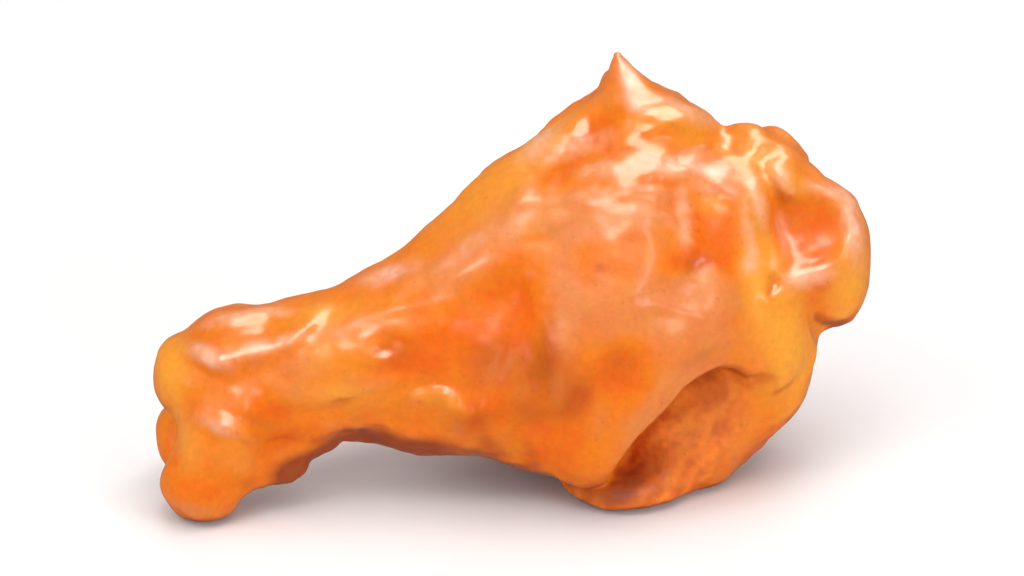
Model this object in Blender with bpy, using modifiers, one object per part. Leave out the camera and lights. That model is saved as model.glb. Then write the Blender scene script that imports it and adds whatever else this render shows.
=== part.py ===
# A single sauced chicken wing drumette, lying on its side on a bare surface.
#
# One solid, as it is in life: the shaft with its knuckle end at -X, the thick
# meat end at +X, the broad face leaning back from the front (-Y).  The form
# is a rough body of overlapping lobes, made one skin and then drawn on to the
# smoothly blended surface of the same lobes, with the folds, hollows and the
# opening under the free edge of the skin worked into it.
import math

import bmesh
import bpy
import numpy as np
from mathutils import Euler, Matrix, Vector

MM = 0.001

# ---------------------------------------------------------------- dimensions
CELL = 1.15              # mm, size of the skin's cells before thinning
TRIANGLES = 8600         # of the finished skin, about
FACE_LEAN = 26.0         # degrees the broad face leans back
FLOOR = 0.0              # height of the flats it lies on
ROLL = 0.28              # mm, slow rolling of the whole skin
ROLL_LENGTH = 11.0       # mm
MIDDLE = (-0.275, 17.075)  # mm, middle of the wing's outline in the lobes' own numbers


def lobe(centre, radii, turn=(0, 0, 0), blend=4.0):
    return {"kind": "lobe", "at": centre, "radii": radii, "turn": turn, "blend": blend}


def limb(a, b, ra, rb, blend=4.0):
    return {"kind": "limb", "a": a, "b": b, "ra": ra, "rb": rb, "blend": blend}


def fold(points, blend):
    """a rounded fold of skin through points (x, y, z, radius)"""
    return [limb(a[:3], b[:3], a[3], b[3], blend) for a, b in zip(points, points[1:])]


# mm, +Z up; x from the knuckle to the meat end, y from the front to the back
CORE = [
    limb((-33, 8.0, 13.8), (-9, 12, 18.6), 7.6, 10.0),                    # shaft
    lobe((-22, 9.5, 18.3), (10, 6.4, 6.2), (0, -14, 0), 4),
    lobe((-6.5, 9, 10.8), (11.5, 7, 5.6), (0, -4, 0), 3),                 # its hanging underside
    lobe((12, 17, 22), (18.5, 16.0, 17), (0, 0, 0), 6),                   # main meat
    lobe((14.2, 22.6, 32.9), (13.0, 13.8, 13.5), (0, 0, 0), 7),
    lobe((23.8, 21, 31.2), (9.4, 12, 10.6), (0, 0, 0), 4),
    limb((-12, 12, 22.6), (2.4, 17.2, 33.4), 6.6, 7.3, 4),                 # top slope
    lobe((16, 26.5, 19), (17.5, 11.5, 19.5), (8, 0, 0), 5),               # back mass
    limb((-12, 16, 15), (6, 24, 14), 5.6, 9.0, 4),
    lobe((28.5, 27.5, 18.5), (7.5, 7.5, 9.5), (0, 10, 20), 2.0),          # shoulder knob
] + fold([(-10, 19.5, 24.5, 1.2), (3, 30.3, 29.5, 2.2), (13, 34.2, 28.0, 2.6),
          (21, 34.8, 22.0, 2.4), (24, 34, 13, 1.6)], 3.0) \
  + fold([(-18, 16.5, 17.0, 1.2), (-5, 27.0, 14.0, 2.2), (5, 33.4, 9.5, 2.2),
          (13, 35.5, 5, 1.6)], 3.0) + [
    lobe((2.0, 6.5, 15.0), (13.5, 7.3, 9.6), (0, 22, 0), 4),              # front sheet of skin
    lobe((12.5, 8.0, 16.2), (12.5, 9.2, 12.0), (0, -20, 0), 4),
    lobe((22.5, 11.0, 21), (9.0, 7.0, 9.0), (0, 0, 0), 4),
    lobe((9.8, 3.0, 8.2), (5.2, 4.6, 4.6), (0, -40, 0), 3),               # its hanging tip
]
OPENING = lobe((21.4, 3.5, 8.3), (11.8, 8.5, 7.4), (-26, -53, 0), 1.8)    # under the free edge
FILL = [
    limb((21.0, 13.2, 5.8), (28.4, 17.2, 12.9), 8.4, 8.9),                # meat in the opening
    lobe((13.8, 8.3, 1.7), (8.0, 7.4, 2.7), (0, 0, 0), 2),
    limb((30.5, 14, 17.0), (31.5, 15, 24), 6.6, 5.2, 3),
]
EAR = [
    lobe((36.2, 18.6, 27.0), (7.6, 6.2, 9.2), (0, 8, -15)),               # ear of skin
    lobe((39.0, 17.0, 24.0), (4.9, 4.8, 5.8), (0, 0, 0), 2),
]
KNUCKLE = [
    lobe((-38.5, 8.6, 15.8), (4.9, 6.8, 5.6), (0, 8, 0), 3),
    lobe((-41.0, 9.0, 16.9), (2.2, 4.0, 3.0), (0, 0, 0), 1.5),
    lobe((-33.6, 9.2, 16.8), (4.8, 6.6, 6.0), (0, -10, 0), 3),
    limb((-34.0, 3.4, 12.0), (-37.5, 1.7, 4.2), 5.6, 4.9, 2),             # foot it stands on
    lobe((-40.4, 8.5, 7.0), (3.3, 4.2, 4.0), (0, 0, 0), 1.0),
    lobe((-31.5, 4.6, 6.2), (3.6, 3.6, 3.4), (0, 0, 0), 2.5),             # web behind the foot
    lobe((-27.0, 6.2, 7.2), (6.5, 4, 2.8), (0, -25, 0), 2),
    lobe((-30, 13.5, 10.5), (6.5, 4.2, 6.0), (0, -10, 0), 2.5),
    lobe((-27.2, 3.9, 4.9), (2.6, 1.8, 1.5), (0, -20, 0), 1.0),           # ragged bits under the shaft
    lobe((-22.4, 5.7, 7.7), (1.9, 1.6, 1.3), (0, -15, 0), 1.2),
    lobe((-19.2, 6.9, 8.5), (2.0, 1.5, 1.3), (0, 0, 0), 1.5),
    limb((15.2, 20.7, 43.6), (12.8, 22.5, 51.7), 6.5, 0.45, 2.2),          # peak of the top fold
    limb((13.2, 23.6, 49.8), (13.8, 27.6, 45.7), 0.9, 2.0, 2.0),          # and its run down the back
    limb((13.4, 27.4, 45.6), (15.5, 32.5, 39.0), 1.9, 3.0, 2.5),
    lobe((31.6, 22.8, 36.4), (4.8, 4.4, 5.4), (0, 0, 0), 2.0),            # behind the strand
] + fold([(22.0, 20.5, 41.2, 3.0), (28.2, 20.0, 40.9, 2.5), (32.3, 19.2, 38.7, 2.1),
          (35.2, 18.6, 36.0, 2.0), (38.4, 18.0, 33.4, 1.9)], 2.2)         # strand from the top to the ear

# Hollows (-) and bumps (+) of the broad face, laid out on a plane that leans
# with it: along the wing, up the face, half length, half width, turn, height.
FACE_PITS = [
    (-4.5, 19.0, 7.0, 4.2, 62, -1.2), (12.3, 18.8, 3.1, 2.4, 60, -0.8),
    (3.2, 16.8, 2.1, 1.3, 75, -0.4), (8.2, 14.8, 2.4, 1.5, 60, -0.35),
    (24.9, 35.9, 4.8, 3.2, 98, -1.2), (21.4, 31.0, 2.3, 1.6, 20, -0.3),
    (-15.0, 21.4, 2.4, 1.5, 10, -0.5),
    (-31.6, 10.8, 3.2, 2.0, -45, -0.5), (11.7, 32.7, 3.0, 1.8, 0, 0.25),
    (36.5, 34.8, 2.9, 2.3, 0, -0.5), (31.4, 28.4, 1.2, 0.8, 70, -0.5),
    (17.4, 47.0, 3.2, 2.0, -12, -0.6), (25.8, 46.2, 3.1, 2.2, -20, -1.0),
    (10.8, 47.2, 3.8, 2.0, 24, -0.35), (5.0, 41.6, 2.8, 1.6, 20, -0.2),
    (32.4, 39.4, 2.6, 1.9, 100, 0.5), (33.2, 41.4, 2.4, 1.7, -45, 0.8), (8.0, 9.2, 5.0, 3.5, 30, 0.4),
    (36.1, 29.7, 2.0, 1.6, 20, 0.8), (12.5, 35.4, 4.2, 2.6, 10, 0.4), (19.6, 42.5, 2.6, 1.6, -8, 0.35),
    (25.4, 41.8, 2.6, 1.8, -10, 0.25), (-2.0, 33.5, 8.0, 4.0, 45, 0.5),
    (24.0, 26.0, 5.0, 3.0, 40, 0.4), (33.5, 19.0, 2.0, 4.0, -20, 0.5),
]
# Ridges (+) and creases (-) of the same face: along, up, half width, height.
FACE_LINES = [
    [(-40.0, 22.8, 1.4, 0), (-37.2, 24.4, 1.4, .6), (-33.0, 25.4, 1.4, .8), (-28.5, 25.8, 1.4, .6), (-25.0, 26.0, 1.4, 0)],
    [(-39, 20.5, 1.3, .4), (-36.5, 20, 1.3, 1.0), (-34, 19, 1.3, .7), (-32.5, 18, 1.2, 0)],
    [(-34.5, 19.5, 1.3, .5), (-31, 20.2, 1.3, .9), (-27, 21.8, 1.2, .8), (-24, 24.6, 1.2, .6), (-22, 27, 1.2, 0)],
    [(-31.5, 13.4, 1.1, 0), (-27.5, 13.2, 1.1, -.7), (-21, 13.6, 1.2, -.5), (-16.5, 14.8, 1.2, 0)],
    [(-37.5, 16.0, 1.7, .3), (-38.2, 12, 1.7, .6), (-39.5, 8, 1.8, .4), (-40, 4, 1.8, 0)],
    [(-13.8, 12.3, 1.0, 0), (-11.4, 14.8, 1.0, .6), (-8.2, 15.2, 1.0, .7), (-6.3, 13.2, 1.0, .6), (-6.6, 10.6, 1.0, 0)],
    [(3.0, 34, 2.6, 0), (4.2, 28, 2.6, .8), (5.4, 21, 2.4, 1.0), (6.0, 15.5, 1.8, .8), (6.5, 12, 1.8, 0)],
    [(29.0, 44, 1.3, .2), (29.9, 39.5, 1.3, .7), (31.2, 35.8, 1.2, .6), (33.0, 31.8, 1.2, .5), (31.0, 26.6, 1.2, .7), (31.4, 22.6, 1.3, .2)],
    [(34.0, 33.0, 1.1, -.1), (32.2, 29.4, 1.1, -.6), (32.4, 25.5, 1.1, -.2)],
    [(34.0, 40.0, 1.4, .5), (37.5, 40.0, 1.4, .8), (41.0, 38.4, 1.5, .9), (41.7, 34.8, 1.5, 1.0), (40.4, 31.4, 1.5, .9), (38.0, 29.0, 1.4, .4)],
        [(8, 38, 2.0, 0), (13, 41, 2.0, .2), (18, 42.6, 2.0, .1)],
    [(12.6, 55.6, 1.2, .1), (10.8, 52.2, 1.3, .4), (7.8, 49.0, 1.4, .4), (5, 46.2, 1.4, .1)],
    [(13.2, 55.6, 1.2, .1), (16.4, 52.0, 1.3, .4), (21, 49.4, 1.4, .5), (27, 48.4, 1.4, .2)],
]
# The same for the back, square from behind: x, z, half length, half width, turn, height.
BACK_PITS = [
    (8, 40, 4.0, 2.6, 35, -1.2), (-4, 27, 3.4, 2.2, 30, -1.0), (22, 36, 3.2, 2.4, -30, -1.1),
    (12, 20, 4.6, 2.8, -20, -1.2), (25, 20, 2.4, 3.4, 0, -1.0), (-1, 19, 2.6, 1.6, 20, -0.8),
    (-22, 14, 3.8, 1.6, 15, -0.7), (-34, 19, 2.6, 1.5, 0, -0.8), (16, 30, 4, 2, 10, 0.6),
    (-14, 22, 5, 2, 30, 0.5),
]
BACK_LINES = [
    [(-30, 16, 1.3, 0), (-22, 18, 1.3, .7), (-14, 20.5, 1.3, .6), (-8, 21, 1.2, 0)],
    [(-2, 36, 1.3, 0), (4, 38, 1.4, .8), (9, 42, 1.4, .7), (13, 46, 1.2, 0)],
    [(18, 40, 1.2, 0), (20, 34, 1.3, .7), (26, 30, 1.3, .8), (30, 24, 1.2, .3)],
    [(2, 24, 1.2, 0), (8, 25, 1.2, -.7), (14, 23, 1.2, -.7), (19, 18, 1.2, 0)],
]
# And for the thick end, square from +X: y, z.
END_PITS = [
    (9, 12, 3.0, 1.8, 60, -0.8), (17, 6, 4.0, 1.8, 0, -0.7), (31, 22, 3.4, 1.8, 70, -0.8),
    (26, 9, 3.0, 2.0, 20, -0.8), (20, 14, 2.2, 3.6, 10, 0.6), (29, 30, 3.0, 2.0, 0, -0.7),
]
END_LINES = [
    [(24, 34, 1.2, 0), (26, 28, 1.2, .7), (25, 21, 1.2, .8), (27, 14, 1.2, .5), (25, 9, 1.2, 0)],
    [(10, 22, 1.2, 0), (12, 17, 1.2, .6), (10, 12, 1.2, .5), (12, 7, 1.2, 0)],
]

UP, IN = math.cos(math.radians(FACE_LEAN)), math.sin(math.radians(FACE_LEAN))


# ------------------------------------------------------- the blended surface
def turned(turn):
    return Euler([math.radians(a) for a in turn], "ZYX").to_matrix()


def distance(p, part):
    """about how far points p (n x 3, mm) are outside one lobe or limb"""
    if part["kind"] == "lobe":
        q = (p - np.array(part["at"])) @ np.array(turned(part["turn"]))
        r = np.array(part["radii"])
        k0 = np.sqrt(((q / r) ** 2).sum(-1))
        k1 = np.sqrt(((q / (r * r)) ** 2).sum(-1))
        return k0 * (k0 - 1) / np.maximum(k1, 1e-6)
    a, b = np.array(part["a"], float), np.array(part["b"], float)
    ab = b - a
    t = np.clip(((p - a) @ ab) / float(ab @ ab), 0, 1)
    d = p - a - t[:, None] * ab
    return np.sqrt((d * d).sum(-1)) - (part["ra"] + (part["rb"] - part["ra"]) * t)


def joined(a, b, k):
    h = np.clip(0.5 + 0.5 * (b - a) / k, 0, 1)
    return b + (a - b) * h - k * h * (1 - h)


def blended(p, parts, d=None):
    for part in parts:
        e = distance(p, part)
        d = e if d is None else joined(d, e, part["blend"])
    return d


def ease(a, b, x):
    t = np.clip((x - a) / (b - a), 0, 1)
    return t * t * (3 - 2 * t)


def pit_height(u, v, c):
    a = math.radians(c[4])
    du, dv = u - c[0], v - c[1]
    q, r = du * math.cos(a) + dv * math.sin(a), dv * math.cos(a) - du * math.sin(a)
    return c[5] * np.exp(-((q / c[2]) ** 2 + (r / c[3]) ** 2) ** 1.3)


def line_height(u, v, points):
    h, near = np.zeros_like(u), np.full_like(u, 1e9)
    for a, b in zip(points, points[1:]):
        du, dv = b[0] - a[0], b[1] - a[1]
        t = np.clip(((u - a[0]) * du + (v - a[1]) * dv) / (du * du + dv * dv), 0, 1)
        w = a[2] + (b[2] - a[2]) * t
        r = ((u - a[0] - du * t) ** 2 + (v - a[1] - dv * t) ** 2) / (w * w)
        h = np.where(r < near, (a[3] + (b[3] - a[3]) * t) * np.exp(-np.minimum(r, 40)), h)
        near = np.minimum(near, r)
    return h


def relief(p):
    """height of the folds and hollows over the plain lobes"""
    x, y, z = p[:, 0], p[:, 1], p[:, 2]
    v = z * UP + y * IN
    face = sum(pit_height(x, v, c) for c in FACE_PITS) + sum(line_height(x, v, s) for s in FACE_LINES)
    middle = 1.0 + 5.0 * ease(-38, 2, x)
    face = face * (1 - ease(middle - 1, middle + 4, y * UP - z * IN))
    back = sum(pit_height(x, z, c) for c in BACK_PITS) + sum(line_height(x, z, s) for s in BACK_LINES)
    middle = 10 + 9 * ease(-36, 4, x)
    back = back * ease(middle, middle + 5, y)
    end = sum(pit_height(y, z, c) for c in END_PITS) + sum(line_height(y, z, s) for s in END_LINES)
    return face + back + end * ease(25, 32, x + 0.35 * (y - 17))


def rolling(p):
    """a slow uneven swell made of nine crossed waves"""
    r = np.random.RandomState(3)
    s = np.zeros(len(p))
    for _ in range(9):
        n = r.normal(size=3)
        n /= np.linalg.norm(n)
        w = r.uniform(0.7, 1.4) / ROLL_LENGTH
        s += np.sin(p @ (n * w * 2 * math.pi) + r.uniform(0, 6.28))
    return s / 3.0


def surface(p):
    x, z = p[:, 0], p[:, 2]
    d = blended(p, CORE)
    d = -joined(-d, distance(p, OPENING), OPENING["blend"])
    d = joined(d, blended(p, FILL), 0.7 + 6 * ease(22, 30, x) * ease(10, 20, z))
    d = joined(d, blended(p, EAR), 1.2 + 3 * (1 - ease(17, 21, z)))
    d = blended(p, KNUCKLE, d)
    return d - relief(p) - ROLL * rolling(p) * ease(0, 4, z)


# ------------------------------------------------------------ the rough body
def add_part(bm, part, grow=0.0):
    """one lobe or limb as a closed shell"""
    if part["kind"] == "lobe":
        m = Matrix.Translation(Vector(part["at"]) * MM) @ turned(part["turn"]).to_4x4()
        m = m @ Matrix.Diagonal([(r + grow) * MM for r in part["radii"]] + [1])
        bmesh.ops.create_uvsphere(bm, u_segments=40, v_segments=24, radius=1.0, matrix=m)
        return
    ends = []
    for c, r in ((part["a"], part["ra"]), (part["b"], part["rb"])):
        m = Matrix.Translation(Vector(c) * MM)
        ends += bmesh.ops.create_uvsphere(bm, u_segments=24, v_segments=14, radius=(r + grow) * MM, matrix=m)["verts"]
    hull = bmesh.ops.convex_hull(bm, input=ends)
    spare = [v for v in hull["geom_interior"] if isinstance(v, bmesh.types.BMVert)]
    bmesh.ops.delete(bm, geom=spare, context="VERTS")
    inner = [f for f in hull["geom_unused"] if isinstance(f, bmesh.types.BMFace) and f.is_valid]
    if inner:
        bmesh.ops.delete(bm, geom=inner, context="FACES_ONLY")


def shells(name, parts, collection, grow=0.0):
    bm = bmesh.new()
    for part in parts:
        one = bmesh.new()
        add_part(one, part, grow)
        bmesh.ops.recalc_face_normals(one, faces=one.faces)
        piece = bpy.data.meshes.new("piece")
        one.to_mesh(piece)
        one.free()
        bm.from_mesh(piece)
        bpy.data.meshes.remove(piece)
    me = bpy.data.meshes.new(name)
    bm.to_mesh(me)
    bm.free()
    ob = bpy.data.objects.new(name, me)
    collection.objects.link(ob)
    return ob


def fused(ob, cell):
    """the object's shells as one skin"""
    m = ob.modifiers.new("skin", "REMESH")
    m.mode = "VOXEL"
    m.voxel_size = cell * MM
    m.adaptivity = 0.0
    settle(ob)


def settle(ob):
    """the object's modifiers, worked into its mesh"""
    graph = bpy.context.evaluated_depsgraph_get()
    graph.update()
    me = bpy.data.meshes.new_from_object(ob.evaluated_get(graph))
    ob.modifiers.clear()
    old = ob.data
    ob.data = me
    bpy.data.meshes.remove(old)


def drawn_on(ob, rounds=6):
    """every corner of the skin moved on to the blended surface"""
    me = ob.data
    bm = bmesh.new()
    bm.from_mesh(me)
    for turn in range(rounds):
        if turn:
            bmesh.ops.smooth_vert(bm, verts=bm.verts, factor=0.5, use_axis_x=True, use_axis_y=True, use_axis_z=True)
        p = np.array([v.co for v in bm.verts]) / MM
        for _ in range(4):
            d = surface(p)
            e = 0.15
            g = np.stack([surface(p + e * n) - surface(p - e * n) for n in np.eye(3)], 1) / (2 * e)
            g2 = np.maximum((g * g).sum(1), 0.25)
            p = p - np.clip(d, -1.2, 1.2)[:, None] * g / g2[:, None]
        for v, c in zip(bm.verts, p):
            v.co = Vector(c) * MM
    bm.to_mesh(me)
    bm.free()


# ---------------------------------------------------------------- the object
for ob in list(bpy.data.objects):
    bpy.data.objects.remove(ob)

parts = bpy.data.collections.new("sauced_chicken_drumette")
cutters = bpy.data.collections.new("cutters")
for c in (parts, cutters):
    bpy.context.scene.collection.children.link(c)

wing = shells("drumette", CORE, parts)
fused(wing, 1.0)

opening = shells("opening", [OPENING], cutters)
cut = wing.modifiers.new("opening", "BOOLEAN")
cut.operation = "DIFFERENCE"
cut.solver = "EXACT"
cut.object = opening
settle(wing)
bpy.data.objects.remove(opening)

rest = shells("rest", FILL + EAR + KNUCKLE, parts)
bm = bmesh.new()
bm.from_mesh(wing.data)
bm.from_mesh(rest.data)
bm.to_mesh(wing.data)
bm.free()
bpy.data.objects.remove(rest)
fused(wing, CELL)
drawn_on(wing)

wing.data.transform(Matrix.Translation((-MIDDLE[0] * MM, -MIDDLE[1] * MM, 0)))

thin = wing.modifiers.new("thin", "DECIMATE")
thin.ratio = min(1.0, TRIANGLES / max(1, sum(len(f.vertices) - 2 for f in wing.data.polygons)))
thin.use_collapse_triangulate = True

floor = bpy.data.objects.new("floor_cut", bpy.data.meshes.new("floor_cut"))
bm = bmesh.new()
bmesh.ops.create_cube(bm, size=1.0, matrix=Matrix.Translation((0, 0, -0.02 + FLOOR * MM)) @ Matrix.Diagonal((0.2, 0.2, 0.04, 1)))
bm.to_mesh(floor.data)
bm.free()
cutters.objects.link(floor)
floor.hide_render = True
floor.display_type = "WIRE"
flat = wing.modifiers.new("flat", "BOOLEAN")
flat.operation = "DIFFERENCE"
flat.solver = "EXACT"
flat.object = floor

sauce = bpy.data.materials.new("buffalo_sauce")
sauce.use_nodes = True
skin = sauce.node_tree.nodes["Principled BSDF"]
skin.inputs["Base Color"].default_value = (0.86, 0.20, 0.02, 1)
skin.inputs["Roughness"].default_value = 0.25
skin.inputs["Metallic"].default_value = 0.0
skin.inputs["Subsurface Weight"].default_value = 0.2
wing.data.materials.clear()
wing.data.materials.append(sauce)
wing.data.shade_smooth()
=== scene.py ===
# The visible surface of the sauced drumette: the same lobes, folds and
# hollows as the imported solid, worked at a fine grain, with its sauce, its
# bare meat under the free edge of the skin, and pepper flecks.
import math

import bpy
import numpy as np
from mathutils import Euler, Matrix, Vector


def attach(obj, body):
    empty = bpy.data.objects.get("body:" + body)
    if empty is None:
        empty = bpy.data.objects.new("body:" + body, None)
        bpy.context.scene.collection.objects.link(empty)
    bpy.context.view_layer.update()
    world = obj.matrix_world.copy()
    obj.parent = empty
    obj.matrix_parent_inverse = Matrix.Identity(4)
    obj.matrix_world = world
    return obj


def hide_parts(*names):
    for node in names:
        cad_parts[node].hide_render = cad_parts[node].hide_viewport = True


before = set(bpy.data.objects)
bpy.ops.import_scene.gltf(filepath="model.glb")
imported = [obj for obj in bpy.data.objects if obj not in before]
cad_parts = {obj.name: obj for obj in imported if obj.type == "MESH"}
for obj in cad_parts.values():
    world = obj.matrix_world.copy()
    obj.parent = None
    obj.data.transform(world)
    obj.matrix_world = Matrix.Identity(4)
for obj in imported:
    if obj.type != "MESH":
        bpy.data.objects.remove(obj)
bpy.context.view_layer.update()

MM = 0.001
GRAIN = 0.41                 # mm, spacing of the fine skin
FACE_LEAN = 26.0             # degrees the broad face leans back
ROLL = 0.28                  # mm, slow rolling of the whole skin
ROLL_LENGTH = 11.0           # mm
MIDDLE = (-0.275, 17.075)  # mm, middle of the wing's outline in the lobes' own numbers


def lobe(centre, radii, turn=(0, 0, 0), blend=4.0):
    return {"kind": "lobe", "at": centre, "radii": radii, "turn": turn, "blend": blend}


def limb(a, b, ra, rb, blend=4.0):
    return {"kind": "limb", "a": a, "b": b, "ra": ra, "rb": rb, "blend": blend}


def fold(points, blend):
    return [limb(a[:3], b[:3], a[3], b[3], blend) for a, b in zip(points, points[1:])]


# mm, +Z up; x from the knuckle to the meat end, y from the front to the back
CORE = [
    limb((-33, 8.0, 13.8), (-9, 12, 18.6), 7.6, 10.0),                    # shaft
    lobe((-22, 9.5, 18.3), (10, 6.4, 6.2), (0, -14, 0), 4),
    lobe((-6.5, 9, 10.8), (11.5, 7, 5.6), (0, -4, 0), 3),                 # its hanging underside
    lobe((12, 17, 22), (18.5, 16.0, 17), (0, 0, 0), 6),                   # main meat
    lobe((14.2, 22.6, 32.9), (13.0, 13.8, 13.5), (0, 0, 0), 7),
    lobe((23.8, 21, 31.2), (9.4, 12, 10.6), (0, 0, 0), 4),
    limb((-12, 12, 22.6), (2.4, 17.2, 33.4), 6.6, 7.3, 4),                 # top slope
    lobe((16, 26.5, 19), (17.5, 11.5, 19.5), (8, 0, 0), 5),               # back mass
    limb((-12, 16, 15), (6, 24, 14), 5.6, 9.0, 4),
    lobe((28.5, 27.5, 18.5), (7.5, 7.5, 9.5), (0, 10, 20), 2.0),          # shoulder knob
] + fold([(-10, 19.5, 24.5, 1.2), (3, 30.3, 29.5, 2.2), (13, 34.2, 28.0, 2.6),
          (21, 34.8, 22.0, 2.4), (24, 34, 13, 1.6)], 3.0) \
  + fold([(-18, 16.5, 17.0, 1.2), (-5, 27.0, 14.0, 2.2), (5, 33.4, 9.5, 2.2),
          (13, 35.5, 5, 1.6)], 3.0) + [
    lobe((2.0, 6.5, 15.0), (13.5, 7.3, 9.6), (0, 22, 0), 4),              # front sheet of skin
    lobe((12.5, 8.0, 16.2), (12.5, 9.2, 12.0), (0, -20, 0), 4),
    lobe((22.5, 11.0, 21), (9.0, 7.0, 9.0), (0, 0, 0), 4),
    lobe((9.8, 3.0, 8.2), (5.2, 4.6, 4.6), (0, -40, 0), 3),               # its hanging tip
]
OPENING = lobe((21.4, 3.5, 8.3), (11.8, 8.5, 7.4), (-26, -53, 0), 1.8)    # under the free edge
FILL = [
    limb((21.0, 13.2, 5.8), (28.4, 17.2, 12.9), 8.4, 8.9),                # meat in the opening
    lobe((13.8, 8.3, 1.7), (8.0, 7.4, 2.7), (0, 0, 0), 2),
    limb((30.5, 14, 17.0), (31.5, 15, 24), 6.6, 5.2, 3),
]
EAR = [
    lobe((36.2, 18.6, 27.0), (7.6, 6.2, 9.2), (0, 8, -15)),               # ear of skin
    lobe((39.0, 17.0, 24.0), (4.9, 4.8, 5.8), (0, 0, 0), 2),
]
KNUCKLE = [
    lobe((-38.5, 8.6, 15.8), (4.9, 6.8, 5.6), (0, 8, 0), 3),
    lobe((-41.0, 9.0, 16.9), (2.2, 4.0, 3.0), (0, 0, 0), 1.5),
    lobe((-33.6, 9.2, 16.8), (4.8, 6.6, 6.0), (0, -10, 0), 3),
    limb((-34.0, 3.4, 12.0), (-37.5, 1.7, 4.2), 5.6, 4.9, 2),             # foot it stands on
    lobe((-40.4, 8.5, 7.0), (3.3, 4.2, 4.0), (0, 0, 0), 1.0),
    lobe((-31.5, 4.6, 6.2), (3.6, 3.6, 3.4), (0, 0, 0), 2.5),             # web behind the foot
    lobe((-27.0, 6.2, 7.2), (6.5, 4, 2.8), (0, -25, 0), 2),
    lobe((-30, 13.5, 10.5), (6.5, 4.2, 6.0), (0, -10, 0), 2.5),
    lobe((-27.2, 3.9, 4.9), (2.6, 1.8, 1.5), (0, -20, 0), 1.0),           # ragged bits under the shaft
    lobe((-22.4, 5.7, 7.7), (1.9, 1.6, 1.3), (0, -15, 0), 1.2),
    lobe((-19.2, 6.9, 8.5), (2.0, 1.5, 1.3), (0, 0, 0), 1.5),
    limb((15.2, 20.7, 43.6), (12.8, 22.5, 51.7), 6.5, 0.45, 2.2),          # peak of the top fold
    limb((13.2, 23.6, 49.8), (13.8, 27.6, 45.7), 0.9, 2.0, 2.0),          # and its run down the back
    limb((13.4, 27.4, 45.6), (15.5, 32.5, 39.0), 1.9, 3.0, 2.5),
    lobe((31.6, 22.8, 36.4), (4.8, 4.4, 5.4), (0, 0, 0), 2.0),            # behind the strand
] + fold([(22.0, 20.5, 41.2, 3.0), (28.2, 20.0, 40.9, 2.5), (32.3, 19.2, 38.7, 2.1),
          (35.2, 18.6, 36.0, 2.0), (38.4, 18.0, 33.4, 1.9)], 2.2)         # strand from the top to the ear

# Hollows (-) and bumps (+) of the broad face, laid out on a plane that leans
# with it: along the wing, up the face, half length, half width, turn, height.
FACE_PITS = [
    (-4.5, 19.0, 7.0, 4.2, 62, -1.2), (12.3, 18.8, 3.1, 2.4, 60, -0.8),
    (3.2, 16.8, 2.1, 1.3, 75, -0.4), (8.2, 14.8, 2.4, 1.5, 60, -0.35),
    (24.9, 35.9, 4.8, 3.2, 98, -1.2), (21.4, 31.0, 2.3, 1.6, 20, -0.3),
    (-15.0, 21.4, 2.4, 1.5, 10, -0.5),
    (-31.6, 10.8, 3.2, 2.0, -45, -0.5), (11.7, 32.7, 3.0, 1.8, 0, 0.25),
    (36.5, 34.8, 2.9, 2.3, 0, -0.5), (31.4, 28.4, 1.2, 0.8, 70, -0.5),
    (17.4, 47.0, 3.2, 2.0, -12, -0.6), (25.8, 46.2, 3.1, 2.2, -20, -1.0),
    (10.8, 47.2, 3.8, 2.0, 24, -0.35), (5.0, 41.6, 2.8, 1.6, 20, -0.2),
    (32.4, 39.4, 2.6, 1.9, 100, 0.5), (33.2, 41.4, 2.4, 1.7, -45, 0.8), (8.0, 9.2, 5.0, 3.5, 30, 0.4),
    (36.1, 29.7, 2.0, 1.6, 20, 0.8), (12.5, 35.4, 4.2, 2.6, 10, 0.4), (19.6, 42.5, 2.6, 1.6, -8, 0.35),
    (25.4, 41.8, 2.6, 1.8, -10, 0.25), (-2.0, 33.5, 8.0, 4.0, 45, 0.5),
    (24.0, 26.0, 5.0, 3.0, 40, 0.4), (33.5, 19.0, 2.0, 4.0, -20, 0.5),
]
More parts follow.
